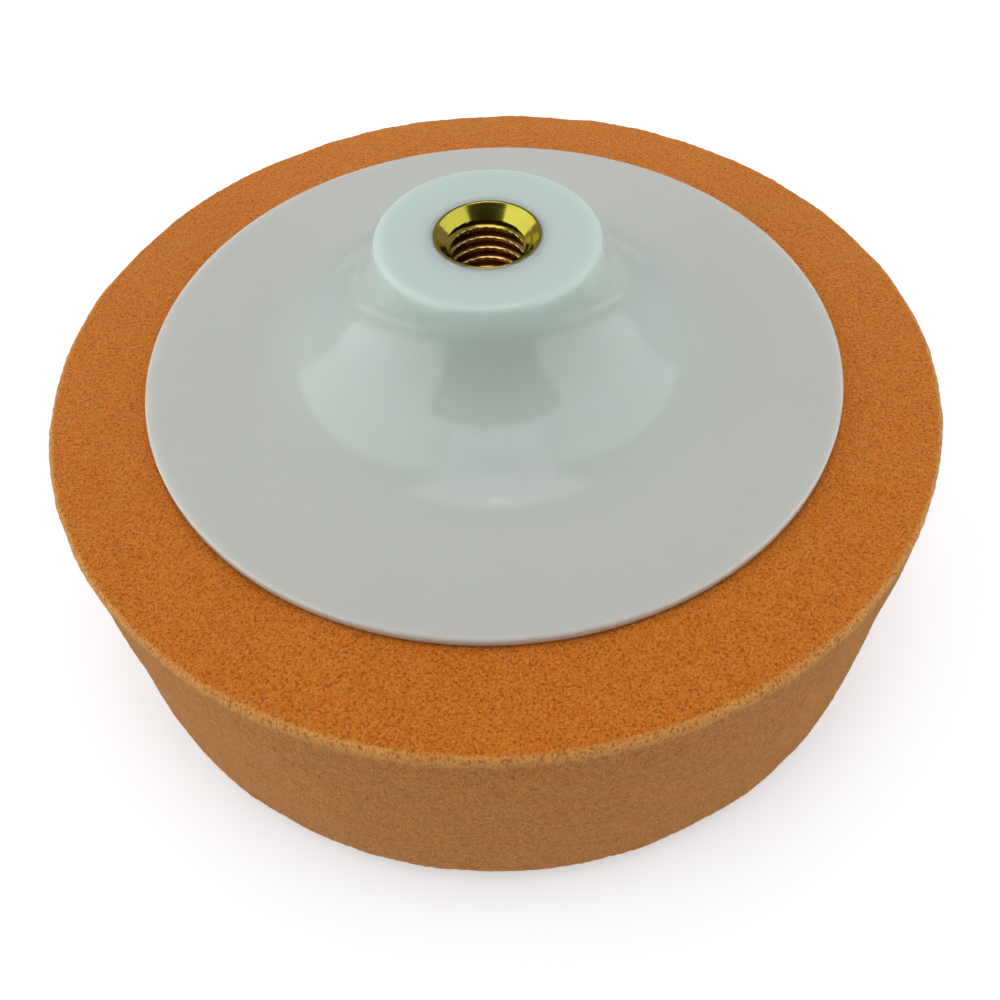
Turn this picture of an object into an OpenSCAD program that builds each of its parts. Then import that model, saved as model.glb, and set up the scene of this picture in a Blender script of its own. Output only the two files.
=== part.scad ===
// Foam polishing pad: a thick open-cell foam disc glued to a moulded backing plate,
// whose hub holds a brass insert with the thread of the polisher's spindle.
// The pad lies on its working face. The origin is the centre of that face, and +Z
// runs up the pad's axis through the hub.

/* [Foam pad] */
// Diameter of the foam
foam_d = 150; // [135:1:200]
// Thickness of the foam
foam_t = 50; // [25:1:60]
// Rounding of the edge round the working face
face_edge_r = 7; // [2:0.5:10]
// Rounding of the foam's upper edge
rim_edge_r = 1.5; // [0.5:0.1:4]

/* [Adhesive layer] */
// Thickness of the set adhesive
glue_t = 0.3; // [0.1:0.1:1]
// How far the adhesive stops short of the plate's edge
glue_margin = 1.5; // [0.5:0.5:6]

/* [Backing plate] */
// Diameter of the backing plate
plate_d = 117; // [95:1:125]
// Thickness of the flange at its edge
flange_edge_t = 1.6; // [1:0.1:3]
// Thickness of the flange where the dome starts
flange_root_t = 2.3; // [1:0.1:4]
// Rounding of the flange's upper edge
flange_edge_r = 0.5; // [0.2:0.1:0.9]
// Diameter of the dome's foot
dome_d = 73; // [60:1:86]
// Slope of the dome in degrees
dome_slope = 31; // [22:1:34]
// Hollow blend between the flange and the dome's foot
dome_foot_r = 20; // [4:1:22]
// Thickness of the dome's shell
shell_t = 3; // [2:0.1:4]

/* [Hub] */
// Height of the hub's top face above the plate's underside
hub_h = 23.7; // [22:0.1:34]
// Diameter of the hub at its top
hub_top_d = 35; // [30:0.5:38]
// Draft of the hub's wall in degrees
hub_draft = 12; // [2:1:15]
// Hollow blend between the hub's wall and the dome, which gives the hub its flare
neck_r = 18; // [4:1:18]
// Rounding of the hub's top edge
hub_edge_r = 1.2; // [0.3:0.1:2]
// Thickness of plastic round the knurled body, down through the hub and dome
core_wall = 5; // [3:0.5:6]
// Thickness of the web that closes the hole under the insert
web_t = 3.7; // [1:0.1:6]

/* [Stiffening ribs] */
// Number of radial ribs under the dome
rib_count = 12; // [6:1:18]
// Thickness of each rib
rib_t = 1.8; // [1.2:0.1:3]

/* [Threaded insert] */
// Major diameter of the spindle thread
thread_d = 14; // [10:1:14]
// Pitch of the spindle thread
thread_pitch = 2; // [1:0.25:2]
// Diameter of the countersunk mouth
mouth_d = 16; // [15.5:0.1:16.4]
// Width of the flat lip round the mouth, flush with the hub's top face
lip_w = 0.4; // [0.2:0.1:1.5]
// Height of the plain collar below the lip
collar_h = 1.5; // [0.5:0.1:3]
// Diameter of the knurled body
knurl_d = 20; // [19:0.1:22]
// Number of knurl notches round the body
knurl_count = 30; // [18:1:36]
// Depth of each knurl notch
knurl_depth = 0.6; // [0.3:0.1:0.8]
// Depth of the groove that stops the insert pulling out
groove_depth = 1.2; // [0.7:0.1:1.6]
// Width of that groove
groove_w = 3; // [1:0.5:5]

/* [Hidden] */
$fn = 96;
// Segments in each rounded corner of an outline
corner_steps = 8;
// Share of the shorter side that a corner's rounding may take, so that two roundings can share it
corner_share = 0.48;
// The neck's blend may take most of the hub's wall, and its neighbours leave it that room
neck_share = 0.68;
beside_neck_share = 0.3;
// How far a cutting solid runs past the face that it cuts
overcut = 1;

// Minor diameter of the metric thread: five eighths of the thread triangle's height on each side
thread_triangle_h = thread_pitch * cos(30);
thread_minor_d = thread_d - 2 * 5 / 8 * thread_triangle_h;
// The mouth is a 45 degree countersink
mouth_h = (mouth_d - thread_minor_d) / 2;

// Levels above the working face
plate_z = foam_t + glue_t;
hub_top_z = plate_z + hub_h;
insert_z = plate_z + web_t;
insert_h = hub_top_z - insert_z;
collar_d = mouth_d + 2 * lip_w;
core_r = knurl_d / 2 + core_wall;

// Corners of the dome and hub outline, as [radius, height]
foot = [dome_d / 2, plate_z + flange_root_t];
hub_top = [hub_top_d / 2, hub_top_z];
// The neck is where the dome's slope meets the hub's drafted wall
neck_z = (foot.y + (foot.x - hub_top.x - hub_top.y * tan(hub_draft)) * tan(dome_slope))
    / (1 - tan(hub_draft) * tan(dome_slope));
neck = [hub_top.x + (hub_top.y - neck_z) * tan(hub_draft), neck_z];

// Drop from the outer face of the dome's shell to its inner face
shell_drop = shell_t / cos(dome_slope);
// Where the shell's inner face runs out at the plate's underside
hollow_r = foot.x + (foot.y - shell_drop - plate_z) / tan(dome_slope);
// Where it meets the core
hollow_top = foot.y - shell_drop + (foot.x - core_r) * tan(dome_slope);

function unit(v) = v / norm(v);

function turned(v, a) = [v.x * cos(a) - v.y * sin(a), v.x * sin(a) + v.y * cos(a)];

// Arc that rounds corner b between a and c. The radius is held to its share of the shorter side.
function rounded_corner(a, b, c, r, share) =
    let (u = unit(a - b), v = unit(c - b))
    let (half = acos(u * v) / 2)
    let (room = share * min(norm(a - b), norm(c - b)))
    let (fit_r = min(r, room * tan(half)))
    let (centre = b + unit(u + v) * fit_r / sin(half))
    let (start = b + u * fit_r / tan(half) - centre)
    let (sweep = sign(cross(v, u)) * (180 - 2 * half))
    [for (i = [0:corner_steps]) centre + turned(start, sweep * i / corner_steps)];

// Closed outline through corners given as [x, y, rounding, share]. A rounding of 0 keeps the
// corner sharp, and a corner without a share of its own has the usual one.
function rounded_outline(corners) =
    let (n = len(corners))
    let (at = function (i) [corners[(i + n) % n].x, corners[(i + n) % n].y])
    [
        for (i = [0:n - 1])
            let (share = is_undef(corners[i][3]) ? corner_share : corners[i][3])
            each (
                corners[i].z > 0
                ? rounded_corner(at(i - 1), at(i), at(i + 1), corners[i].z, share)
                : [at(i)]
            )
    ];

module foam_pad() {
    outline = rounded_outline([
        [0, 0, 0],
        [foam_d / 2, 0, face_edge_r],
        [foam_d / 2, foam_t, rim_edge_r],
        [0, foam_t, 0]
    ]);
    color([0.80, 0.46, 0.18])
        rotate_extrude()
            polygon(outline);
}

module adhesive_layer() {
    color([0.86, 0.80, 0.62])
        translate([0, 0, foam_t])
            cylinder(h = glue_t, d = plate_d - 2 * glue_margin);
}

// Solid of the plate's outer shape, with no bore and no hollow
module plate_body() {
    rotate_extrude()
        polygon(rounded_outline([
            [0, plate_z, 0],
            [plate_d / 2, plate_z, 0],
            [plate_d / 2, plate_z + flange_edge_t, flange_edge_r],
            [foot.x, foot.y, dome_foot_r, beside_neck_share],
            [neck.x, neck.y, neck_r, neck_share],
            [hub_top.x, hub_top.y, hub_edge_r, beside_neck_share],
            [0, hub_top.y, 0]
        ]));
}

// Moulded hollow under the dome, between the core and the flange, cut up by the ribs
module ribbed_hollow() {
    difference() {
        rotate_extrude()
            polygon([
                [core_r, plate_z - overcut],
                [hollow_r, plate_z - overcut],
                [hollow_r, plate_z],
                [core_r, hollow_top]
            ]);
        for (i = [0:rib_count - 1])
            rotate(i * 360 / rib_count)
                translate([0, -rib_t / 2, plate_z - 2 * overcut])
                    cube([dome_d / 2, rib_t, hub_h]);
    }
}

module knurled_section(height) {
    linear_extrude(height)
        difference() {
            circle(d = knurl_d);
            for (i = [0:knurl_count - 1])
                rotate(i * 360 / knurl_count)
                    translate([knurl_d / 2, 0])
                        rotate(45)
                            square(knurl_depth * sqrt(2), center = true);
        }
}

// Outer shape of the insert. The plate is moulded round it, so the same shape is cut from the plate.
module insert_blank() {
    body_h = insert_h - collar_h;
    band_h = (body_h - groove_w) / 2;
    translate([0, 0, insert_z])
        knurled_section(band_h);
    translate([0, 0, insert_z + band_h])
        cylinder(h = groove_w, d = knurl_d - 2 * groove_depth);
    translate([0, 0, insert_z + band_h + groove_w])
        knurled_section(band_h);
    translate([0, 0, hub_top_z - collar_h])
        cylinder(h = collar_h, d = collar_d);
}

module backing_plate() {
    color([0.80, 0.84, 0.82])
        difference() {
            plate_body();
            ribbed_hollow();
            insert_blank();
        }
}

// The thread's bore is a plain cylinder at the minor diameter
module threaded_insert() {
    color([0.85, 0.70, 0.20])
        difference() {
            insert_blank();
            translate([0, 0, insert_z - overcut])
                cylinder(h = insert_h + 2 * overcut, d = thread_minor_d);
            rotate_extrude()
                polygon([
                    [0, hub_top_z - mouth_h],
                    [thread_minor_d / 2, hub_top_z - mouth_h],
                    [mouth_d / 2, hub_top_z],
                    [mouth_d / 2, hub_top_z + overcut],
                    [0, hub_top_z + overcut]
                ]);
        }
}

foam_pad();
adhesive_layer();
backing_plate();
threaded_insert();
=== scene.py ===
# %% [markdown]
# # A foam polishing pad
# The pad is a thick disc of open-cell foam, glued to a moulded plastic plate whose hub holds a
# threaded brass insert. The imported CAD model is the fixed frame: it gives every place and size.
# This script gives each piece the surface of the real one, one cell at a time, and then sets a
# camera and a small studio round it.

# %% Load the frame
import math

import bmesh
import bpy
from mathutils import Matrix, Vector


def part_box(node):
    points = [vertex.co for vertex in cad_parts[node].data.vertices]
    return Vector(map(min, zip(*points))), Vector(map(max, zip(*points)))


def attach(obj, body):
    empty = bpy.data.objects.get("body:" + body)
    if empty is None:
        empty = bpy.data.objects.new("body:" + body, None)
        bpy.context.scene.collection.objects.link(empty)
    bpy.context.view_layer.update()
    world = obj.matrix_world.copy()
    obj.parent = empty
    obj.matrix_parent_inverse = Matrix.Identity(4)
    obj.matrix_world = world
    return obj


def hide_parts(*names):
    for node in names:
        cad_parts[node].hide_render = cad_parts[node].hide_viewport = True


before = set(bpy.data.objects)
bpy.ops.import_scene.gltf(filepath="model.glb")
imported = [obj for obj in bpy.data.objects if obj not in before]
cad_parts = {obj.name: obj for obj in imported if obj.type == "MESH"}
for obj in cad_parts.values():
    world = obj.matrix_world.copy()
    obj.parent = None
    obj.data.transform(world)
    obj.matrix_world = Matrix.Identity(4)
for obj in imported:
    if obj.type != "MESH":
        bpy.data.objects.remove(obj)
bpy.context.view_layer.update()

MM = 0.001
print("nodes:", sorted(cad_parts))

# %% [markdown]
# ## Helpers
# Colours are written as sRGB hex codes, as on a paint chart, and Blender wants linear light, so
# one function turns one into the other. A second one adds a node to any tree and sets or links
# its sockets, which keeps the trees below short enough to read.

# %% Colours and nodes
def colour(code):
    """Linear RGBA from an sRGB hex code."""
    channels = [int(code[i : i + 2], 16) / 255 for i in (1, 3, 5)]
    linear = [c / 12.92 if c <= 0.04045 else ((c + 0.055) / 1.055) ** 2.4 for c in channels]
    return (*linear, 1.0)


def add(tree, kind, inputs=None, **settings):
    """A new node with its settings, and its inputs set to values or linked to sockets."""
    node = tree.nodes.new(kind)
    for name, value in settings.items():
        setattr(node, name, value)
    for key, value in (inputs or {}).items():
        if isinstance(value, bpy.types.NodeSocket):
            tree.links.new(value, node.inputs[key])
        else:
            node.inputs[key].default_value = value
    return node


print("middle grey #808080 is", round(colour("#808080")[0], 3), "in linear light")

# %% [markdown]
# Every piece here is turned on one axis, so it starts as a few corners of its section, given as
# radius, height and rounding in millimetres. The outline below rounds each corner with an arc.

# %% Rounded outlines
def rounded_outline(corners, steps=12):
    """Points (radius, height) of an outline through corners (radius, height, rounding)."""
    points = []
    for i, (x, z, rounding) in enumerate(corners):
        here = Vector((x, z))
        if rounding == 0:
            points.append(here)
            continue
        before = Vector(corners[i - 1][:2]) - here
        after = Vector(corners[i + 1][:2]) - here
        half = before.angle(after) / 2
        before.normalize()
        after.normalize()
        centre = here + (before + after).normalized() * rounding / math.sin(half)
        start = here + before * rounding / math.tan(half) - centre
        turn = math.copysign(math.pi - 2 * half, after.x * before.y - after.y * before.x)
        for step in range(steps + 1):
            spoke = Matrix.Rotation(turn * step / steps, 2) @ start
            points.append(centre + spoke)
    return points


def with_steps(points, longest):
    """The same outline with points added, so that no step is longer than this many millimetres."""
    filled = [points[0]]
    for end in points[1:]:
        start = filled[-1]
        count = max(1, math.ceil((end - start).length / longest))
        filled += [start.lerp(end, i / count) for i in range(1, count + 1)]
    return filled


def outline_mesh(name, points):
    """A mesh whose only vertices are the outline's points, in metres in the XZ plane."""
    mesh = bpy.data.meshes.new(name)
    mesh.from_pydata([(x * MM, 0, z * MM) for x, z in points], [], [])
    return mesh


square = rounded_outline([(0, 0, 0), (10, 0, 2), (10, 10, 2), (0, 10, 0)])
print("a 10 mm square with two round corners has", len(square), "outline points")

# %% [markdown]
# Geometry Nodes do the turning. A group holds the one rule that all the pieces share: a flat grid
# with a column for each step round the axis and a row for each outline point is moved so that
# each of its points takes the place of its outline point, turned about Z. Merging the doubles
# closes the seam and the poles. Spinning the outline with an operator would also work, but a tree
# can go on to add the notches, the thread and the cells by rules of their own.

# %% Geometry trees
def geometry_tree(name, inputs):
    """A geometry tree, its input node and its output node. Inputs are {label: socket kind}."""
    tree = bpy.data.node_groups.new(name, "GeometryNodeTree")
    tree.interface.new_socket("Geometry", in_out="INPUT", socket_type="NodeSocketGeometry")
    for label, kind in inputs.items():
        tree.interface.new_socket(label, in_out="INPUT", socket_type="NodeSocket" + kind)
    tree.interface.new_socket("Geometry", in_out="OUTPUT", socket_type="NodeSocketGeometry")
    return tree, add(tree, "NodeGroupInput").outputs, add(tree, "NodeGroupOutput")


def finish_tree(tree, geometry, given, result):
    """Ends a tree: its instances become real geometry, in the given material."""
    real = add(tree, "GeometryNodeRealizeInstances", {"Geometry": geometry}).outputs[0]
    finished = add(
        tree, "GeometryNodeSetMaterial", {"Geometry": real, "Material": given["Material"]}
    ).outputs[0]
    tree.links.new(finished, result.inputs["Geometry"])
    return tree


def lathe_group():
    """Turns the points of an outline into a closed skin about Z, with a UV map."""
    tree, given, result = geometry_tree("lathe", {"Columns": "Int"})
    rows = add(tree, "GeometryNodeAttributeDomainSize", {0: given["Geometry"]}).outputs["Point Count"]
    across = add(tree, "ShaderNodeMath", {0: given["Columns"], 1: 1}, operation="ADD").outputs[0]
    grid = add(tree, "GeometryNodeMeshGrid", {"Vertices X": across, "Vertices Y": rows})
    index = add(tree, "GeometryNodeInputIndex").outputs[0]
    column = add(tree, "FunctionNodeIntegerMath", {0: index, 1: rows}, operation="DIVIDE_FLOOR").outputs[0]
    row = add(tree, "FunctionNodeIntegerMath", {0: index, 1: rows}, operation="MODULO").outputs[0]
    share = add(tree, "ShaderNodeMath", {0: column, 1: given["Columns"]}, operation="DIVIDE").outputs[0]
    angle = add(tree, "ShaderNodeMath", {0: share, 1: math.tau}, operation="MULTIPLY").outputs[0]
    place = add(tree, "GeometryNodeInputPosition").outputs[0]
    sampled = add(
        tree, "GeometryNodeSampleIndex",
        {"Geometry": given["Geometry"], "Value": place, "Index": row}, data_type="FLOAT_VECTOR",
    ).outputs[0]
    turned = add(
        tree, "ShaderNodeVectorRotate", {"Vector": sampled, "Angle": angle}, rotation_type="Z_AXIS"
    ).outputs[0]
    mapped = add(
        tree, "GeometryNodeStoreNamedAttribute",
        {"Geometry": grid.outputs["Mesh"], "Name": "UVMap", "Value": grid.outputs["UV Map"]},
        data_type="FLOAT2", domain="CORNER",
    ).outputs[0]
    skin = add(tree, "GeometryNodeSetPosition", {"Geometry": mapped, "Position": turned}).outputs[0]
    closed = add(tree, "GeometryNodeMergeByDistance", {"Geometry": skin, "Distance": 0.001 * MM}).outputs[0]
    tree.links.new(closed, result.inputs["Geometry"])
    return tree


LATHE = lathe_group()
print("the lathe group has", len(LATHE.nodes), "nodes")

# %% Run a tree and keep its mesh
def scratch_object(name, mesh):
    helper = bpy.data.objects.new(name + "_outline", mesh)
    bpy.context.scene.collection.objects.link(helper)
    return helper


def run_tree(name, tree, mesh, values):
    """The tree run on a mesh, as a plain mesh object whose faces point outwards."""
    source = scratch_object(name, mesh)
    modifier = source.modifiers.new("tree", "NODES")
    modifier.node_group = tree
    for item in tree.interface.items_tree:
        if item.in_out == "INPUT" and item.name in values:
            modifier[item.identifier] = values[item.name]
    evaluated = source.evaluated_get(bpy.context.evaluated_depsgraph_get())
    made = bpy.data.meshes.new_from_object(evaluated)
    made.name = name
    bpy.data.objects.remove(source)

    shape = bmesh.new()
    shape.from_mesh(made)
    bmesh.ops.recalc_face_normals(shape, faces=shape.faces)
    open_edges = sum(not edge.is_manifold for edge in shape.edges)
    litres = shape.calc_volume() * 1000
    shape.to_mesh(made)
    shape.free()
    made.shade_smooth()
    made.set_sharp_from_angle(angle=math.radians(35))
    piece = bpy.data.objects.new(name, made)
    bpy.context.scene.collection.objects.link(piece)
    print(f"{name}: {len(made.polygons)} faces, {open_edges} open edges, {litres:.4f} litres")
    return piece


print("ready to run trees;", len(bpy.data.meshes), "meshes so far, all from the frame")

# %% [markdown]
# ## Sizes
# The boxes of the CAD nodes give the outer sizes and the levels, so nothing is fitted by eye. What
# a box can't tell, such as the slopes of the plate's section, is named here in millimetres.

# %% Sizes from the frame
def round_size(node):
    """Radius, lowest level and highest level of a round CAD node, in millimetres."""
    low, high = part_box(node)
    radius = max(vertex.co.xy.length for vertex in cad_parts[node].data.vertices)
    return round(radius / MM, 3), round(low.z / MM, 3), round(high.z / MM, 3)


foam_r, foam_z, foam_top = round_size("foam_pad")
glue_r, glue_z, glue_top = round_size("adhesive_layer")
plate_r, plate_z, hub_top = round_size("backing_plate")
knurl_r, insert_z, insert_top = round_size("threaded_insert")
print("foam", foam_r, foam_top, "plate", plate_r, plate_z, hub_top, "insert", knurl_r, insert_z)

# %% Sizes of the plate's section and of the insert
face_edge_r = 7
rim_edge_r = 1.5

flange_edge_t = 1.6
flange_root_t = 2.3
flange_edge_r = 0.5
dome_r = 36.5
dome_slope = math.radians(31)
dome_foot_r = 20
shell_t = 3
hub_top_r = 17.5
hub_draft = math.radians(12)
neck_r = 18
hub_edge_r = 1.2
core_wall = 5
rib_count = 12
rib_t = 1.8

thread_r = 7
thread_pitch = 2
mouth_r = 8
lip_w = 0.4
collar_h = 1.5
knurl_count = 30
knurl_depth = 0.6
groove_depth = 1.2
groove_w = 3
print("dome", 2 * dome_r, "mm across with", rib_count, "ribs; insert with", knurl_count, "notches")

# %% Corners that follow from those sizes
minor_r = thread_r - 5 / 8 * thread_pitch * math.cos(math.radians(30))
collar_r = mouth_r + lip_w
core_r = knurl_r + core_wall
foot = Vector((dome_r, plate_z + flange_root_t))
rise = math.tan(dome_slope)
draft = math.tan(hub_draft)
neck_z = (foot.y + (foot.x - hub_top_r - hub_top * draft) * rise) / (1 - draft * rise)
neck = Vector((hub_top_r + (hub_top - neck_z) * draft, neck_z))
shell_drop = shell_t / math.cos(dome_slope)
hollow_r = foot.x + (foot.y - shell_drop - plate_z) / rise
hollow_top = foot.y - shell_drop + (foot.x - core_r) * rise
band_h = (insert_top - collar_h - insert_z - groove_w) / 2
groove_z = insert_z + band_h
collar_z = insert_top - collar_h
print("thread", round(2 * minor_r, 3), "to", 2 * thread_r, "mm; dome meets hub at", tuple(neck))

# %% [markdown]
# ## Materials
# Each material is a small node tree that reads Object coordinates, so its pattern is fixed to the
# piece at its real size. The patterns' sizes are in millimetres: a texture's Scale is how many
# times it repeats in a metre, so a pattern of 1 mm has a scale of 1000. Every piece is turned
# about Z, so a finish or a shape often asks how far a point is from the axis, and one more helper
# answers that.

# %% Starting a material
def per_metre(size):
    """The scale of a texture whose features are this many millimetres across."""
    return 1 / (size * MM)


def new_material(name, **values):
    """A material, its tree, its shader with these constants set, and the piece's coordinates."""
    material = bpy.data.materials.new(name)
    material.use_nodes = True
    tree = material.node_tree
    shader = tree.nodes["Principled BSDF"]
    for label, value in values.items():
        shader.inputs[label.replace("_", " ")].default_value = value
    place = add(tree, "ShaderNodeTexCoord").outputs["Object"]
    return material, tree, shader, place


def about_axis(tree, place):
    """The X, Y and Z of a place, and its distance from the Z axis."""
    x, y, z = add(tree, "ShaderNodeSeparateXYZ", {0: place}).outputs
    flat = add(tree, "ShaderNodeCombineXYZ", {"X": x, "Y": y}).outputs[0]
    radius = add(tree, "ShaderNodeVectorMath", {0: flat}, operation="LENGTH").outputs["Value"]
    return x, y, z, radius


print("a pattern of 1 mm repeats", round(per_metre(1)), "times in a metre")

# %% [markdown]
# Free-cutting brass is what turned inserts are made of. A finishing cut leaves it bright, with
# fine rings round the axis, and deep inside the bore it mirrors itself and turns red-brown.

# %% Material: turned brass
def turned_brass():
    """Bright yellow metal with tool rings and a little tarnish."""
    material, tree, shader, place = new_material("free_cutting_brass", Metallic=1.0)
    # The rings of a finishing cut are about 0.1 mm apart. They are drawn at 0.3 mm so as to show.
    stretched = add(tree, "ShaderNodeMapping", {"Vector": place, "Scale": (0.05, 0.05, 1)}).outputs[0]
    rings = add(
        tree, "ShaderNodeTexNoise", {"Vector": stretched, "Scale": per_metre(0.3), "Detail": 2}
    ).outputs[0]
    tarnish = add(
        tree, "ShaderNodeTexNoise", {"Vector": place, "Scale": per_metre(4), "Detail": 4}
    ).outputs[0]
    tint = add(
        tree, "ShaderNodeMix", {0: tarnish, 6: colour("#C4B648"), 7: colour("#AC993C")},
        data_type="RGBA",
    ).outputs[2]
    # The mouth stays bright yellow. Deeper in, the bore is painted orange-brown: a painted reflection of the
    # brass mirroring itself.
    level = add(tree, "ShaderNodeSeparateXYZ", {0: place}).outputs["Z"]
    bore_reflection = add(
        tree, "ShaderNodeMapRange",
        {"Value": level, "From Min": (insert_top - 2) * MM, "From Max": (insert_top - 6) * MM,
         "To Max": 0.75},
    ).outputs[0]
    tint = add(
        tree, "ShaderNodeMix", {0: bore_reflection, 6: tint, 7: colour("#DFAA6C")}, data_type="RGBA"
    ).outputs[2]
    rough = add(
        tree, "ShaderNodeMapRange", {"Value": rings, "To Min": 0.08, "To Max": 0.22}
    ).outputs[0]
    bump = add(tree, "ShaderNodeBump", {"Strength": 0.25, "Distance": 0.02 * MM, "Height": rings})
    tree.links.new(tint, shader.inputs["Base Color"])
    tree.links.new(rough, shader.inputs["Roughness"])
    tree.links.new(bump.outputs[0], shader.inputs["Normal"])
    return material


BRASS = turned_brass()
print("made", BRASS.name, "with", len(BRASS.node_tree.nodes), "nodes")

# %% [markdown]
# The backing plate is injection moulded from natural polypropylene, with no pigment. Such a
# plastic is milky: light goes in, scatters and comes out again nearby, so it has no hard shadows.
# Where it is thick it looks a cool blue-green white. The thin flange lets the warm foam under it
# show, so it looks a little greyer and warmer. A scattering shader can't see the foam through the
# plate, so the tint follows the radius, as the wall's thickness does.

# %% Material: natural polypropylene
def natural_polypropylene():
    """Milky moulded plastic, cool where thick and warmer on the thin flange, with a soft gloss."""
    material, tree, shader, place = new_material(
        "natural_polypropylene", IOR=1.49, Subsurface_Weight=1.0, Subsurface_Scale=1.0,
        Subsurface_Radius=(4.5 * MM, 5.2 * MM, 5.0 * MM),
    )
    x, y, z, radius = about_axis(tree, place)
    thin = add(
        tree, "ShaderNodeMapRange",
        {"Value": radius, "From Min": (dome_r - 12) * MM, "From Max": (dome_r + 6) * MM},
        interpolation_type="SMOOTHSTEP",
    ).outputs[0]
    clouds = add(
        tree, "ShaderNodeTexNoise", {"Vector": place, "Scale": per_metre(18), "Detail": 2}
    ).outputs[0]
    cloudy = add(tree, "ShaderNodeMapRange", {"Value": clouds, "To Min": -0.12, "To Max": 0.12}).outputs[0]
    thin = add(tree, "ShaderNodeMath", {0: thin, 1: cloudy}, operation="ADD", use_clamp=True).outputs[0]
    # Below the hub's face the wall is painted a warmer, duller grey: painted shade on the hub's wall and
    # neck.
    neck_shade = add(
        tree, "ShaderNodeMapRange",
        {"Value": z, "From Min": (hub_top - 1) * MM, "From Max": (hub_top - 9) * MM},
        interpolation_type="SMOOTHSTEP",
    ).outputs[0]
    thick = add(
        tree, "ShaderNodeMix", {0: neck_shade, 6: colour("#C7D3CA"), 7: colour("#C3C9C0")},
        data_type="RGBA",
    ).outputs[2]
    tint = add(
        tree, "ShaderNodeMix", {0: thin, 6: thick, 7: colour("#CAC9C0")}, data_type="RGBA"
    ).outputs[2]
    # Moulded gloss isn't quite flat: it has a faint orange peel a few millimetres across.
    peel = add(
        tree, "ShaderNodeTexNoise", {"Vector": place, "Scale": per_metre(3), "Detail": 1}
    ).outputs[0]
    rubbed = add(
        tree, "ShaderNodeTexNoise", {"Vector": place, "Scale": per_metre(9), "Detail": 5}
    ).outputs[0]
    rough = add(
        tree, "ShaderNodeMapRange", {"Value": rubbed, "To Min": 0.08, "To Max": 0.16}
    ).outputs[0]
    bump = add(tree, "ShaderNodeBump", {"Strength": 0.15, "Distance": 0.05 * MM, "Height": peel})
    tree.links.new(tint, shader.inputs["Base Color"])
    tree.links.new(rough, shader.inputs["Roughness"])
    tree.links.new(bump.outputs[0], shader.inputs["Normal"])
    return material


PLASTIC = natural_polypropylene()
print("made", PLASTIC.name, "with", len(PLASTIC.node_tree.nodes), "nodes")

# %% [markdown]
# The foam is open-cell polyurethane, cut from a block with a hot wire. Cutting opens its cells:
# their rims are fine struts that catch the light, and the cells between them are soft and lie in
# shade; the pale struts are a painted highlight and the dark pores a painted shade. A Voronoi
# texture would draw each cell, but so many even cells look like scales. Two noises that are bent by
# their own distortion give the worm-like tangle that is seen at arm's length: the low spots of one
# are the pores, and the curling middle lines of the other are the struts. The cut edge is painted
# paler, a painted highlight where the rounded rim catches the light, and the side is painted duller
# than the top, a painted shade.

# %% Pores and struts of the foam
# The cells of such a foam are 0.3 to 0.5 mm across. The pores are drawn at the coarse end of
# that, and the tangle of struts a little coarser, so as to show.
pore_size = 0.46
strut_size = 0.55
side_stretch = 2.2


def foam_cells(tree, place):
    """How deep in a pore a point is, and how high on a strut: the pores get painted shade and the struts a
    painted highlight.
    """
    # The cutter drags the cells of the side upwards, which leaves the level top as it is.
    dragged = add(
        tree, "ShaderNodeMapping", {"Vector": place, "Scale": (1, 1, 1 / side_stretch)}
    ).outputs[0]
    holes = add(
        tree, "ShaderNodeTexNoise",
        {"Vector": dragged, "Scale": per_metre(pore_size), "Detail": 2, "Distortion": 0.4},
    ).outputs[0]
    # The pores are painted dark: painted shade in the open cells.
    pores = add(
        tree, "ShaderNodeMapRange",
        {"Value": holes, "From Min": 0.5, "From Max": 0.34, "To Max": 0.6},
        interpolation_type="SMOOTHSTEP",
    ).outputs[0]
    tangle = add(
        tree, "ShaderNodeTexNoise",
        {"Vector": dragged, "Scale": per_metre(strut_size), "Detail": 2, "Distortion": 0.6},
    ).outputs[0]
    # A noise crosses its middle value along fine curling lines, which are drawn as the struts.
    from_middle = add(tree, "ShaderNodeMath", {0: tangle, 1: 0.5}, operation="SUBTRACT").outputs[0]
    from_middle = add(tree, "ShaderNodeMath", {0: from_middle}, operation="ABSOLUTE").outputs[0]
    struts = add(
        tree, "ShaderNodeMapRange", {"Value": from_middle, "From Min": 0.1, "From Max": 0.0},
        interpolation_type="SMOOTHSTEP",
    ).outputs[0]
    return pores, struts


print("pores", pore_size, "mm and struts", strut_size, "mm, drawn out", side_stretch, "times on the side")

# %% Side and cut edge of the foam
def foam_zones(tree, place, struts):
    """Where the side's painted shade is, and where the cut edge's painted highlight is, each from 0 to 1."""
    x, y, z, radius = about_axis(tree, place)
    # The side is painted duller and darker than the top: painted shade.
    side = add(
        tree, "ShaderNodeMapRange",
        {"Value": z, "From Min": (foam_top - 0.8) * MM, "From Max": (foam_top - 2.4) * MM},
        interpolation_type="SMOOTHSTEP",
    ).outputs[0]
    # The cut edge is high on the foam and far out at once, and it is broken up by the struts. It is painted
    # paler, a painted highlight where the rounded rim catches the light.
    outer = add(
        tree, "ShaderNodeMapRange",
        {"Value": radius, "From Min": (foam_r - 1.5) * MM, "From Max": (foam_r - 0.7) * MM},
        interpolation_type="SMOOTHSTEP",
    ).outputs[0]
    upper = add(
        tree, "ShaderNodeMapRange",
        {"Value": z, "From Min": (foam_top - 3.2) * MM, "From Max": (foam_top - 1.4) * MM},
        interpolation_type="SMOOTHSTEP",
    ).outputs[0]
    edge = add(tree, "ShaderNodeMath", {0: outer, 1: upper}, operation="MULTIPLY").outputs[0]
    broken_by_struts = add(tree, "ShaderNodeMapRange", {"Value": struts, "To Min": 0.45, "To Max": 1.0}).outputs[0]
    edge = add(tree, "ShaderNodeMath", {0: edge, 1: broken_by_struts}, operation="MULTIPLY").outputs[0]
    return side, edge


print("the foam's zones follow its radius of", foam_r, "mm and its top at", foam_top, "mm")

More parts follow.
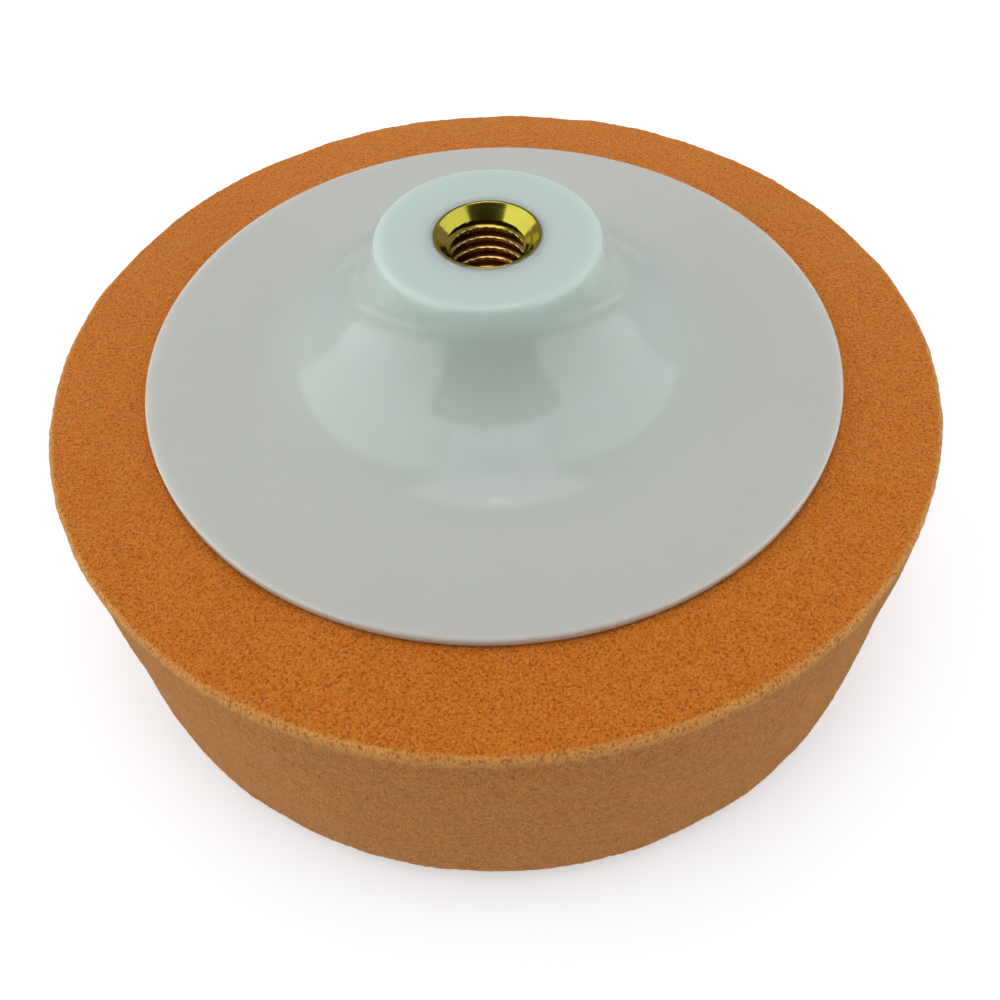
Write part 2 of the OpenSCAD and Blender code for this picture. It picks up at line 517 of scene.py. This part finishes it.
# %% Material: open-cell polyurethane foam
def cut_foam():
    """Matte orange foam: soft dark pores of painted shade, pale struts and a pale cut edge of painted
    highlight, and a duller side of painted shade.
    """
    material, tree, shader, place = new_material(
        "open_cell_polyurethane", Roughness=0.95, Specular_IOR_Level=0.15,
        Sheen_Weight=1.0, Sheen_Roughness=0.47, Sheen_Tint=colour("#F3B97C"),
    )
    pores, struts = foam_cells(tree, place)
    side, edge = foam_zones(tree, place, struts)
    # The struts are painted paler: a painted highlight where they catch the light.
    light = add(tree, "ShaderNodeMath", {0: struts, 1: 0.55}, operation="MULTIPLY").outputs[0]
    patches = add(
        tree, "ShaderNodeTexNoise", {"Vector": place, "Scale": per_metre(22), "Detail": 2}
    ).outputs[0]
    body = add(
        tree, "ShaderNodeMix", {0: patches, 6: colour("#C65E0A"), 7: colour("#D16C12")},
        data_type="RGBA",
    ).outputs[2]
    # Each layer covers the one before: the side's painted shade, the cut edge's painted highlight, the
    # struts' painted highlight and the pores' painted shade.
    layers = ((side, "#B05A20"), (edge, "#EDB066"), (light, "#EC9A3A"), (pores, "#7C2C00"))
    for cover, shade in layers:
        body = add(
            tree, "ShaderNodeMix", {0: cover, 6: body, 7: colour(shade)}, data_type="RGBA"
        ).outputs[2]
    height = add(tree, "ShaderNodeMath", {0: struts, 1: pores}, operation="SUBTRACT").outputs[0]
    bump = add(tree, "ShaderNodeBump", {"Strength": 0.5, "Distance": 0.2 * MM, "Height": height})
    tree.links.new(body, shader.inputs["Base Color"])
    tree.links.new(bump.outputs[0], shader.inputs["Normal"])
    return material


FOAM = cut_foam()
print("made", FOAM.name, "with", len(FOAM.node_tree.nodes), "nodes")

# %% [markdown]
# The contact adhesive has set to a thin amber film. Only its edge could ever be seen, in the gap
# under the flange, where it is wetter and glossier than the foam beside it.

# %% Material: set contact adhesive
def contact_adhesive():
    """A clear amber film, brushed on, with streaks that are more or less glossy."""
    material, tree, shader, place = new_material("contact_adhesive", IOR=1.5, Coat_Weight=0.3)
    streaks = add(
        tree, "ShaderNodeTexNoise", {"Vector": place, "Scale": per_metre(2.5), "Detail": 3}
    ).outputs[0]
    tint = add(
        tree, "ShaderNodeMix", {0: streaks, 6: colour("#C9933F"), 7: colour("#E2BE74")},
        data_type="RGBA",
    ).outputs[2]
    rough = add(
        tree, "ShaderNodeMapRange", {"Value": streaks, "To Min": 0.15, "To Max": 0.45}
    ).outputs[0]
    tree.links.new(tint, shader.inputs["Base Color"])
    tree.links.new(rough, shader.inputs["Roughness"])
    return material


GLUE = contact_adhesive()
print("made", GLUE.name, "with", len(GLUE.node_tree.nodes), "nodes")

# %% [markdown]
# ## The brass insert
# A turned brass sleeve that the hub is moulded round. Its outside is knurled so that it can't
# spin in the plastic, and grooved so that it can't pull out. Its bore has the right-hand M14
# thread of a polisher's spindle and a countersunk mouth. A helix could be swept and cut out, but
# a thread is only a rule for the radius at each height and angle, so the bore's points follow
# that rule, and the thread runs out into the countersink as a tap leaves it.

# %% Knurl notches as a rule
def knurl_group():
    """Sinks notches round every part of a skin that lies on the knurl's radius."""
    tree, given, result = geometry_tree(
        "knurl", {"Notches": "Int", "Knurl Radius": "Float", "Notch Depth": "Float"}
    )
    place = add(tree, "GeometryNodeInputPosition").outputs[0]
    x, y, z, radius = about_axis(tree, place)
    angle = add(tree, "ShaderNodeMath", {0: y, 1: x}, operation="ARCTAN2").outputs[0]
    step = add(tree, "ShaderNodeMath", {0: math.tau, 1: given["Notches"]}, operation="DIVIDE").outputs[0]
    reach = add(tree, "ShaderNodeMath", {0: step, 1: 0.5}, operation="MULTIPLY").outputs[0]
    # Ping-pong runs from 0 to half a step and back, so it is the angle from the nearest notch.
    away = add(tree, "ShaderNodeMath", {0: angle, 1: reach}, operation="PINGPONG").outputs[0]
    arc = add(tree, "ShaderNodeMath", {0: away, 1: radius}, operation="MULTIPLY").outputs[0]
    depth = add(
        tree, "ShaderNodeMath", {0: given["Notch Depth"], 1: arc}, operation="SUBTRACT", use_clamp=True
    ).outputs[0]
    kept = add(tree, "ShaderNodeMath", {0: radius, 1: depth}, operation="SUBTRACT").outputs[0]
    factor = add(tree, "ShaderNodeMath", {0: kept, 1: radius}, operation="DIVIDE").outputs[0]
    shrink = add(tree, "ShaderNodeCombineXYZ", {"X": factor, "Y": factor, "Z": 1.0}).outputs[0]
    moved = add(tree, "ShaderNodeVectorMath", {0: place, 1: shrink}, operation="MULTIPLY").outputs[0]
    on_knurl = add(
        tree, "FunctionNodeCompare", {"A": radius, "B": given["Knurl Radius"], "Epsilon": 0.001 * MM},
        operation="EQUAL",
    ).outputs[0]
    notched = add(
        tree, "GeometryNodeSetPosition",
        {"Geometry": given["Geometry"], "Selection": on_knurl, "Position": moved},
    ).outputs[0]
    tree.links.new(notched, result.inputs["Geometry"])
    return tree


KNURL = knurl_group()
turned_columns = 8 * knurl_count
print("the insert and its pocket turn in", turned_columns, "columns, 8 to a notch")

# %% The insert's tree
def insert_tree():
    """Lathe, knurl, then thread: the bore's radius by height and angle, opened by the mouth."""
    tree, given, result = geometry_tree(
        "threaded_insert",
        {"Columns": "Int", "Notches": "Int", "Knurl Radius": "Float", "Notch Depth": "Float",
         "Pitch": "Float", "Minor Radius": "Float", "Major Radius": "Float",
         "Mouth Radius": "Float", "Mouth Level": "Float", "Material": "Material"},
    )
    skin = add(
        tree, "GeometryNodeGroup", {0: given["Geometry"], 1: given["Columns"]}, node_tree=LATHE
    ).outputs[0]
    knurled = add(
        tree, "GeometryNodeGroup",
        {0: skin, 1: given["Notches"], 2: given["Knurl Radius"], 3: given["Notch Depth"]},
        node_tree=KNURL,
    ).outputs[0]

    place = add(tree, "GeometryNodeInputPosition").outputs[0]
    x, y, z, radius = about_axis(tree, place)
    angle = add(tree, "ShaderNodeMath", {0: y, 1: x}, operation="ARCTAN2").outputs[0]
    turns = add(tree, "ShaderNodeMath", {0: angle, 1: math.tau}, operation="DIVIDE").outputs[0]
    rise = add(tree, "ShaderNodeMath", {0: z, 1: given["Pitch"]}, operation="DIVIDE").outputs[0]
    phase = add(tree, "ShaderNodeMath", {0: rise, 1: turns}, operation="SUBTRACT").outputs[0]
    # Ping-pong gives 0 at the middle of a crest and 0.5 at the middle of a root. The crest is a
    # quarter of the pitch wide and the root an eighth, with straight flanks between them.
    away = add(tree, "ShaderNodeMath", {0: phase, 1: 0.5}, operation="PINGPONG").outputs[0]
    thread = add(
        tree, "ShaderNodeMapRange",
        {"Value": away, "From Min": 1 / 8, "From Max": 7 / 16,
         "To Min": given["Minor Radius"], "To Max": given["Major Radius"]},
    ).outputs[0]
    below = add(tree, "ShaderNodeMath", {0: given["Mouth Level"], 1: z}, operation="SUBTRACT").outputs[0]
    cone = add(tree, "ShaderNodeMath", {0: given["Mouth Radius"], 1: below}, operation="SUBTRACT").outputs[0]
    cut = add(tree, "ShaderNodeMath", {0: thread, 1: cone}, operation="MAXIMUM").outputs[0]
    factor = add(tree, "ShaderNodeMath", {0: cut, 1: radius}, operation="DIVIDE").outputs[0]
    widen = add(tree, "ShaderNodeCombineXYZ", {"X": factor, "Y": factor, "Z": 1.0}).outputs[0]
    moved = add(tree, "ShaderNodeVectorMath", {0: place, 1: widen}, operation="MULTIPLY").outputs[0]
    in_bore = add(
        tree, "FunctionNodeCompare", {"A": radius, "B": given["Minor Radius"], "Epsilon": 0.001 * MM},
        operation="EQUAL",
    ).outputs[0]
    threaded = add(
        tree, "GeometryNodeSetPosition",
        {"Geometry": knurled, "Selection": in_bore, "Position": moved},
    ).outputs[0]

    return finish_tree(tree, threaded, given, result)


INSERT_TREE = insert_tree()
print("the insert's tree has", len(INSERT_TREE.nodes), "nodes")

# %% Turn the insert
rows_per_pitch = 28
bore = with_steps([Vector((minor_r, insert_z)), Vector((minor_r, insert_top))], thread_pitch / rows_per_pitch)
# The lip is burnished a little round, and so it catches the light all the way round the mouth.
lip_crown = 0.08
lip = [
    Vector((mouth_r + lip_w * share, insert_top + lip_crown * math.sin(math.pi * share)))
    for share in (0.25, 0.5, 0.75)
]
outside = [
    Vector((collar_r, insert_top)),
    Vector((collar_r, collar_z)),
    Vector((knurl_r, collar_z)),
    Vector((knurl_r, groove_z + groove_w)),
    Vector((knurl_r - groove_depth, groove_z + groove_w)),
    Vector((knurl_r - groove_depth, groove_z)),
    Vector((knurl_r, groove_z)),
    Vector((knurl_r, insert_z)),
]
insert = run_tree(
    "threaded_insert_turned", INSERT_TREE,
    outline_mesh("insert_outline", bore + lip + outside + bore[:1]),
    {"Columns": turned_columns, "Notches": knurl_count, "Knurl Radius": knurl_r * MM,
     "Notch Depth": knurl_depth * MM, "Pitch": thread_pitch * MM, "Minor Radius": minor_r * MM,
     "Major Radius": thread_r * MM, "Mouth Radius": mouth_r * MM, "Mouth Level": insert_top * MM,
     "Material": BRASS},
)
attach(insert, "root")
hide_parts("threaded_insert")

# %% [markdown]
# ## The backing plate
# One moulding: a thin flange that carries the foam, a dome that stiffens it and a thick hub round
# the insert. Under the dome it is hollow, and twelve ribs cross the hollow, so that no wall is
# thick enough to sink as it cools. The outer shape and the hollow are two lathed skins. The ribs
# repeat round the axis, so they are instances of one block, cut out of the hollow before the
# hollow is cut out of the plate. A fine witness ring round the mouth is left by the core pin.

# %% The plate's tree
def plate_tree():
    """The plate's skin less its hollow, where the hollow is itself less the ribs."""
    tree, given, result = geometry_tree(
        "backing_plate",
        {"Hollow": "Object", "Columns": "Int", "Notches": "Int", "Knurl Radius": "Float",
         "Notch Depth": "Float", "Ribs": "Int", "Rib Size": "Vector", "Rib Level": "Float",
         "Material": "Material"},
    )
    skin = add(
        tree, "GeometryNodeGroup", {0: given["Geometry"], 1: given["Columns"]}, node_tree=LATHE
    ).outputs[0]
    body = add(
        tree, "GeometryNodeGroup",
        {0: skin, 1: given["Notches"], 2: given["Knurl Radius"], 3: given["Notch Depth"]},
        node_tree=KNURL,
    ).outputs[0]
    outline = add(tree, "GeometryNodeObjectInfo", {0: given["Hollow"]}).outputs["Geometry"]
    hollow = add(
        tree, "GeometryNodeGroup", {0: outline, 1: given["Columns"]}, node_tree=LATHE
    ).outputs[0]

    block = add(tree, "GeometryNodeMeshCube", {"Size": given["Rib Size"]}).outputs["Mesh"]
    length = add(tree, "ShaderNodeSeparateXYZ", {0: given["Rib Size"]}).outputs[0]
    half = add(tree, "ShaderNodeMath", {0: length, 1: 0.5}, operation="MULTIPLY").outputs[0]
    outwards = add(tree, "ShaderNodeCombineXYZ", {"X": half, "Z": given["Rib Level"]}).outputs[0]
    spoke = add(
        tree, "GeometryNodeTransform", {"Geometry": block, "Translation": outwards}
    ).outputs[0]
    index = add(tree, "GeometryNodeInputIndex").outputs[0]
    step = add(tree, "ShaderNodeMath", {0: math.tau, 1: given["Ribs"]}, operation="DIVIDE").outputs[0]
    angle = add(tree, "ShaderNodeMath", {0: index, 1: step}, operation="MULTIPLY").outputs[0]
    euler = add(tree, "ShaderNodeCombineXYZ", {"Z": angle}).outputs[0]
    ribs = add(
        tree, "GeometryNodeInstanceOnPoints",
        {"Points": add(tree, "GeometryNodePoints", {"Count": given["Ribs"]}).outputs[0],
         "Instance": spoke,
         "Rotation": add(tree, "FunctionNodeEulerToRotation", {0: euler}).outputs[0]},
    ).outputs[0]
    ribs = add(tree, "GeometryNodeRealizeInstances", {"Geometry": ribs}).outputs[0]
    cells = add(
        tree, "GeometryNodeMeshBoolean", {"Mesh 1": hollow, "Mesh 2": ribs},
        operation="DIFFERENCE", solver="MANIFOLD",
    ).outputs[0]
    plate = add(
        tree, "GeometryNodeMeshBoolean", {"Mesh 1": body, "Mesh 2": cells},
        operation="DIFFERENCE", solver="MANIFOLD",
    ).outputs[0]
    return finish_tree(tree, plate, given, result)


PLATE_TREE = plate_tree()
print("the plate's tree has", len(PLATE_TREE.nodes), "nodes")

# %% Outlines of the plate and its hollow
witness_r = 9.3
witness_w = 0.25
witness_depth = 0.05
overcut = 1

plate_outline = rounded_outline([
    (0, plate_z, 0),
    (plate_r, plate_z, 0),
    (plate_r, plate_z + flange_edge_t, flange_edge_r),
    (foot.x, foot.y, dome_foot_r),
    (neck.x, neck.y, neck_r),
    (hub_top_r, hub_top, hub_edge_r),
    (witness_r + witness_w, hub_top, 0),
    (witness_r + witness_w / 2, hub_top - witness_depth, 0),
    (witness_r, hub_top, 0),
    *((x, z, 0) for x, z in outside),
    (0, insert_z, 0),
])
hollow_outline = [
    Vector((core_r, plate_z - overcut)),
    Vector((hollow_r, plate_z - overcut)),
    Vector((hollow_r, plate_z)),
    Vector((core_r, hollow_top)),
    Vector((core_r, plate_z - overcut)),
]
print(len(plate_outline), "outline points; hollow", round(hollow_top - plate_z, 2), "mm deep")

# %% Mould the plate
hollow_source = scratch_object("hollow", outline_mesh("hollow_outline", hollow_outline))
rib_height = hollow_top - plate_z + 4 * overcut
plate = run_tree(
    "backing_plate_moulded", PLATE_TREE,
    outline_mesh("plate_outline", with_steps(plate_outline, 1.0)),
    {"Hollow": hollow_source, "Columns": turned_columns, "Notches": knurl_count,
     "Knurl Radius": knurl_r * MM, "Notch Depth": knurl_depth * MM, "Ribs": rib_count,
     "Rib Size": Vector((dome_r, rib_t, rib_height)) * MM,
     "Rib Level": (plate_z + rib_height / 2 - 2 * overcut) * MM, "Material": PLASTIC},
)
bpy.data.objects.remove(hollow_source)
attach(plate, "root")
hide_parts("backing_plate")

# %% [markdown]
# ## The adhesive
# A film of contact adhesive between the foam and the flange. It is brushed on by hand, so its
# edge wanders a little. The tree turns a thin disc and lets a noise push its edge in and out.

# %% The adhesive's tree
def adhesive_tree():
    """Lathe, with the edge pushed in and out by a smooth noise."""
    tree, given, result = geometry_tree(
        "adhesive_film",
        {"Columns": "Int", "Wander": "Float", "Wander Size": "Float", "Seed": "Float",
         "Material": "Material"},
    )
    skin = add(
        tree, "GeometryNodeGroup", {0: given["Geometry"], 1: given["Columns"]}, node_tree=LATHE
    ).outputs[0]
    place = add(tree, "GeometryNodeInputPosition").outputs[0]
    x, y, z = add(tree, "ShaderNodeSeparateXYZ", {0: place}).outputs
    flat = add(tree, "ShaderNodeCombineXYZ", {"X": x, "Y": y}).outputs[0]
    outwards = add(tree, "ShaderNodeVectorMath", {0: flat}, operation="NORMALIZE").outputs[0]
    often = add(tree, "ShaderNodeMath", {0: 1.0, 1: given["Wander Size"]}, operation="DIVIDE").outputs[0]
    noise = add(
        tree, "ShaderNodeTexNoise",
        {"Vector": flat, "W": given["Seed"], "Scale": often, "Detail": 2}, noise_dimensions="4D",
    ).outputs[0]
    centred = add(tree, "ShaderNodeMath", {0: noise, 1: 0.5}, operation="SUBTRACT").outputs[0]
    push = add(tree, "ShaderNodeMath", {0: centred, 1: given["Wander"]}, operation="MULTIPLY").outputs[0]
    offset = add(
        tree, "ShaderNodeVectorMath", {0: outwards, "Scale": push}, operation="SCALE"
    ).outputs[0]
    wandered = add(tree, "GeometryNodeSetPosition", {"Geometry": skin, "Offset": offset}).outputs[0]
    return finish_tree(tree, wandered, given, result)


ADHESIVE_TREE = adhesive_tree()
print("the adhesive's tree has", len(ADHESIVE_TREE.nodes), "nodes")

# %% Brush on the adhesive
bead_r = 0.12
glue_outline = rounded_outline([
    (0, glue_z, 0), (glue_r, glue_z, bead_r), (glue_r, glue_top, bead_r), (0, glue_top, 0)
], steps=4)
adhesive = run_tree(
    "adhesive_film", ADHESIVE_TREE, outline_mesh("glue_outline", glue_outline),
    {"Columns": 360, "Wander": 1.2 * MM, "Wander Size": 6 * MM, "Seed": 3.0, "Material": GLUE},
)
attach(adhesive, "root")
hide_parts("adhesive_layer")

# %% [markdown]
# ## The foam
# The largest piece, and the one whose surface matters most. A cut block of foam is straight-sided
# with slightly soft edges, and it is never quite even: its outline wavers by a few tenths of a
# millimetre and its skin is pitted by the cells that the cut opened. A displacement map could do
# this at render time, but here the pits are in the mesh, so they show in its outline too. The
# tree turns the outline finely and sinks each point inwards along its normal. Nothing is pushed
# outwards, and the part of the top that the plate is glued to stays flat.

# %% The foam's tree
def foam_tree():
    """Lathe, then sink the skin: shallow waves all round, and a pit for each open cell."""
    tree, given, result = geometry_tree(
        "foam_disc",
        {"Columns": "Int", "Cell Size": "Float", "Pit Depth": "Float", "Wave Size": "Float",
         "Wave Depth": "Float", "Glued Radius": "Float", "Glued Level": "Float", "Seed": "Float",
         "Material": "Material"},
    )
    skin = add(
        tree, "GeometryNodeGroup", {0: given["Geometry"], 1: given["Columns"]}, node_tree=LATHE
    ).outputs[0]
    place = add(tree, "GeometryNodeInputPosition").outputs[0]
    x, y, z, radius = about_axis(tree, place)
    cell_rate = add(tree, "ShaderNodeMath", {0: 1.0, 1: given["Cell Size"]}, operation="DIVIDE").outputs[0]
    wave_rate = add(tree, "ShaderNodeMath", {0: 1.0, 1: given["Wave Size"]}, operation="DIVIDE").outputs[0]
    cells = add(
        tree, "ShaderNodeTexNoise",
        {"Vector": place, "W": given["Seed"], "Scale": cell_rate, "Detail": 1}, noise_dimensions="4D",
    ).outputs[0]
    waves = add(
        tree, "ShaderNodeTexNoise",
        {"Vector": place, "W": given["Seed"], "Scale": wave_rate, "Detail": 1}, noise_dimensions="4D",
    ).outputs[0]
    # A noise seldom leaves 0.3 to 0.7, so the shallowest spots don't sink at all.
    pit = add(
        tree, "ShaderNodeMapRange",
        {"Value": cells, "From Min": 0.3, "From Max": 0.7, "To Max": given["Pit Depth"]},
    ).outputs[0]
    wave = add(
        tree, "ShaderNodeMapRange",
        {"Value": waves, "From Min": 0.3, "From Max": 0.7, "To Max": given["Wave Depth"]},
    ).outputs[0]
    sink = add(tree, "ShaderNodeMath", {0: pit, 1: wave}, operation="ADD").outputs[0]
    inwards = add(tree, "ShaderNodeMath", {0: sink, 1: -1.0}, operation="MULTIPLY").outputs[0]
    normal = add(tree, "GeometryNodeInputNormal").outputs[0]
    offset = add(
        tree, "ShaderNodeVectorMath", {0: normal, "Scale": inwards}, operation="SCALE"
    ).outputs[0]
    beyond = add(
        tree, "FunctionNodeCompare", {"A": radius, "B": given["Glued Radius"]},
        operation="GREATER_THAN",
    ).outputs[0]
    lower = add(
        tree, "FunctionNodeCompare", {"A": z, "B": given["Glued Level"]}, operation="LESS_THAN"
    ).outputs[0]
    free = add(tree, "FunctionNodeBooleanMath", {0: beyond, 1: lower}, operation="OR").outputs[0]
    pitted = add(
        tree, "GeometryNodeSetPosition", {"Geometry": skin, "Selection": free, "Offset": offset}
    ).outputs[0]
    return finish_tree(tree, pitted, given, result)


FOAM_TREE = foam_tree()
print("the foam's tree has", len(FOAM_TREE.nodes), "nodes")

# %% Cut the foam
foam_step = 0.5
# The real cells are about as small as a step of this mesh, so its pits are drawn at 1.1 mm, which
# is as coarse as they need to be to show.
pit_size = 1.1
foam_outline = rounded_outline([
    (0, foam_z, 0), (foam_r, foam_z, face_edge_r), (foam_r, foam_top, rim_edge_r), (0, foam_top, 0)
])
# Under the plate the top is flat, and needs no points between its centre and the glue's edge.
foam_points = [
    point for point in with_steps(foam_outline, foam_step)
    if point.y < foam_top or point.x > glue_r - 2 or point.x == 0
]
foam = run_tree(
    "foam_pad_cut", FOAM_TREE, outline_mesh("foam_outline", foam_points),
    {"Columns": math.ceil(math.tau * foam_r / foam_step), "Cell Size": pit_size * MM,
     "Pit Depth": 0.15 * MM, "Wave Size": 14 * MM, "Wave Depth": 0.4 * MM,
     "Glued Radius": glue_r * MM, "Glued Level": (foam_top - 0.1) * MM, "Seed": 7.0,
     "Material": FOAM},
)
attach(foam, "root")
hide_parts("foam_pad")

# %% [markdown]
# ## The studio
# The pad stands on a plain pale floor, between two tall panels of light that run back along its
# sides. They give the dome its two broad reflections, with a dark card behind the camera between
# them. A soft box overhead lights the front of the dome, and a soft world fills the shadows. The
# lamps are at a plain level, at which a colour renders about as it is written. A grey ring on the
# floor is there for mirrors alone, and the card also keeps some fill light off the front.

# %% Floor
def floor_material():
    """Matt pale floor. The camera and mirrors see it brighter, so that it reads as white."""
    material = bpy.data.materials.new("pale_floor")
    material.use_nodes = True
    tree = material.node_tree
    tree.nodes.remove(tree.nodes["Principled BSDF"])
    rays = add(tree, "ShaderNodeLightPath").outputs
    seen = add(
        tree, "ShaderNodeMath", {0: rays["Is Camera Ray"], 1: rays["Is Glossy Ray"]}, operation="MAXIMUM"
    ).outputs[0]
    seen = add(
        tree, "ShaderNodeMath", {0: seen, 1: rays["Is Transmission Ray"]}, operation="MAXIMUM"
    ).outputs[0]
    glow = add(tree, "ShaderNodeMath", {0: seen, 1: 0.4}, operation="MULTIPLY").outputs[0]
    diffuse = add(tree, "ShaderNodeBsdfDiffuse", {"Color": (0.8, 0.8, 0.8, 1)}).outputs[0]
    lift = add(tree, "ShaderNodeEmission", {"Strength": glow}).outputs[0]
    both = add(tree, "ShaderNodeAddShader", {0: diffuse, 1: lift}).outputs[0]
    tree.links.new(both, tree.nodes["Material Output"].inputs["Surface"])
    return material


floor_half = 3.0
floor_mesh = bpy.data.meshes.new("floor")
corners = [(-floor_half, -floor_half, 0), (floor_half, -floor_half, 0),
           (floor_half, floor_half, 0), (-floor_half, floor_half, 0)]
floor_mesh.from_pydata(corners, [], [(0, 1, 2, 3)])
floor_mesh.materials.append(floor_material())
floor = bpy.data.objects.new("floor", floor_mesh)
bpy.context.scene.collection.objects.link(floor)
print("floor", 2 * floor_half, "m across")

# %% World
world = bpy.data.worlds.new("studio")
world.use_nodes = True
sky = world.node_tree.nodes["Background"].inputs
sky["Color"].default_value = colour("#F4F6FF")
sky["Strength"].default_value = 0.32
bpy.context.scene.world = world
print("world strength", round(sky["Strength"].default_value, 2))

# %% Soft boxes
pad_centre = Vector((0, 0, foam_top)) * MM


def soft_box(name, place, width, height, power, tint="#FFFFFF"):
    """A rectangular area lamp that faces the pad, and that the camera doesn't see."""
    lamp = bpy.data.lights.new(name, "AREA")
    lamp.shape = "RECTANGLE"
    lamp.size = width
    lamp.size_y = height
    lamp.energy = power
    lamp.color = colour(tint)[:3]
    holder = bpy.data.objects.new(name, lamp)
    bpy.context.scene.collection.objects.link(holder)
    holder.location = place
    holder.rotation_euler = (pad_centre - holder.location).to_track_quat("-Z", "Y").to_euler()
    holder.visible_camera = False
    return holder


def towards(azimuth, elevation, distance):
    """A point at that distance from the pad. Azimuth 0 is the camera's side, 90 its right."""
    a, e = math.radians(azimuth), math.radians(elevation)
    level = Vector((math.sin(a), -math.cos(a), 0)) * math.cos(e)
    return pad_centre + (level + Vector((0, 0, math.sin(e)))) * distance


print("lamps will face", [round(v, 3) for v in pad_centre])

# %% Side panels
panel_height = 1.0


def side_panel(name, near, far, radiance):
    """An upright lamp that stands on the floor from one point to another, each (azimuth, distance)."""
    ends = [towards(azimuth, 0, distance) for azimuth, distance in (near, far)]
    across = ends[1] - ends[0]
    middle = (ends[0] + ends[1]) / 2
    middle.z = panel_height / 2
    power = radiance * math.pi * across.length * panel_height
    panel = soft_box(name, middle, across.length, panel_height, power, "#F0FFFD")
    inwards = Vector((across.y, -across.x, 0))
    if inwards.dot(pad_centre - middle) < 0:
        inwards.negate()
    panel.rotation_euler = inwards.to_track_quat("-Z", "Y").to_euler()
    return panel


side_panel("left_panel", near=(-39, 0.5), far=(-125, 2.2), radiance=1.34)
side_panel("right_panel", near=(36, 0.5), far=(120, 2.2), radiance=1.12)
print("panels", panel_height, "m high")

# %% Overhead lamps
overhead = 0.9
soft_box("overhead_box", towards(0, 79, overhead), width=0.6, height=0.54, power=1.7, tint="#F0EEFF")
# The second overhead lamp is kept out of the reflections, as a polariser would keep it.
fill = soft_box("overhead_fill", towards(180, 78, overhead), width=0.6, height=0.6, power=1.95)
fill.visible_glossy = False
soft_box("ceiling_spot", towards(0, 89, overhead), width=0.03, height=0.03, power=0.03)

# %% Cards that the camera doesn't see
def card(name, shade, points, faces):
    """A card that the camera doesn't see, which darkens one direction on the glossy plastic."""
    mesh = bpy.data.meshes.new(name)
    mesh.from_pydata(points, [], faces)
    material = bpy.data.materials.new(name + "_paper")
    material.use_nodes = True
    material.node_tree.nodes["Principled BSDF"].inputs["Base Color"].default_value = colour(shade)
    mesh.materials.append(material)
    sheet = bpy.data.objects.new(name, mesh)
    bpy.context.scene.collection.objects.link(sheet)
    for ray in ("camera", "transmission", "shadow", "volume_scatter"):
        setattr(sheet, "visible_" + ray, False)
    return sheet


card_w = 0.66
card_h = 0.628
half_w, half_h = card_w / 2, card_h / 2
camera_card = card(
    "camera_card", "#0A0A0A",
    [(-half_w, -half_h, 0), (half_w, -half_h, 0), (half_w, half_h, 0), (-half_w, half_h, 0)],
    [(0, 1, 2, 3)],
)
camera_card.location = towards(azimuth=0, elevation=30.5, distance=0.45)
camera_card.rotation_euler = (pad_centre - camera_card.location).to_track_quat("-Z", "Y").to_euler()
# A flat grey ring round the pad keeps the bright floor out of the back of the dome.
ring_inner, ring_outer = 0.3, 2.9
ring_lift = 1 * MM
ring_steps = 64
turns = [math.tau * i / ring_steps for i in range(ring_steps)]
floor_ring = card(
    "floor_ring", "#909090",
    [(math.cos(t) * r, math.sin(t) * r, ring_lift) for r in (ring_inner, ring_outer) for t in turns],
    [(i, (i + 1) % ring_steps, ring_steps + (i + 1) % ring_steps, ring_steps + i) for i in range(ring_steps)],
)
floor_ring.visible_diffuse = False
print("card", card_w, "by", card_h, "m; ring", ring_inner, "to", ring_outer, "m")

# %% [markdown]
# ## The camera
# It looks down on the pad from in front, close enough for a strong perspective, and is tipped a
# little to one side, as a hand-held camera is.

# %% Camera
camera_place = Vector((0.2, -124.5, 167.0)) * MM
camera_down = math.radians(52.03)
camera_tip = math.radians(2.45)
focal_share = 0.9782
sensor_width = 36

camera_data = bpy.data.cameras.new("camera")
camera_data.sensor_width = sensor_width
camera_data.lens = focal_share * sensor_width
camera_data.clip_start = 0.01
camera = bpy.data.objects.new("camera", camera_data)
bpy.context.scene.collection.objects.link(camera)
tilt = Matrix.Rotation(math.radians(90) - camera_down, 3, "X")
camera.matrix_world = Matrix.LocRotScale(
    camera_place, (tilt @ Matrix.Rotation(-camera_tip, 3, "Z")).to_quaternion(), None
)
bpy.context.scene.camera = camera
bpy.context.scene.view_settings.view_transform = "Standard"
print("lens", round(camera_data.lens, 2), "mm at", [round(v, 3) for v in camera.location])
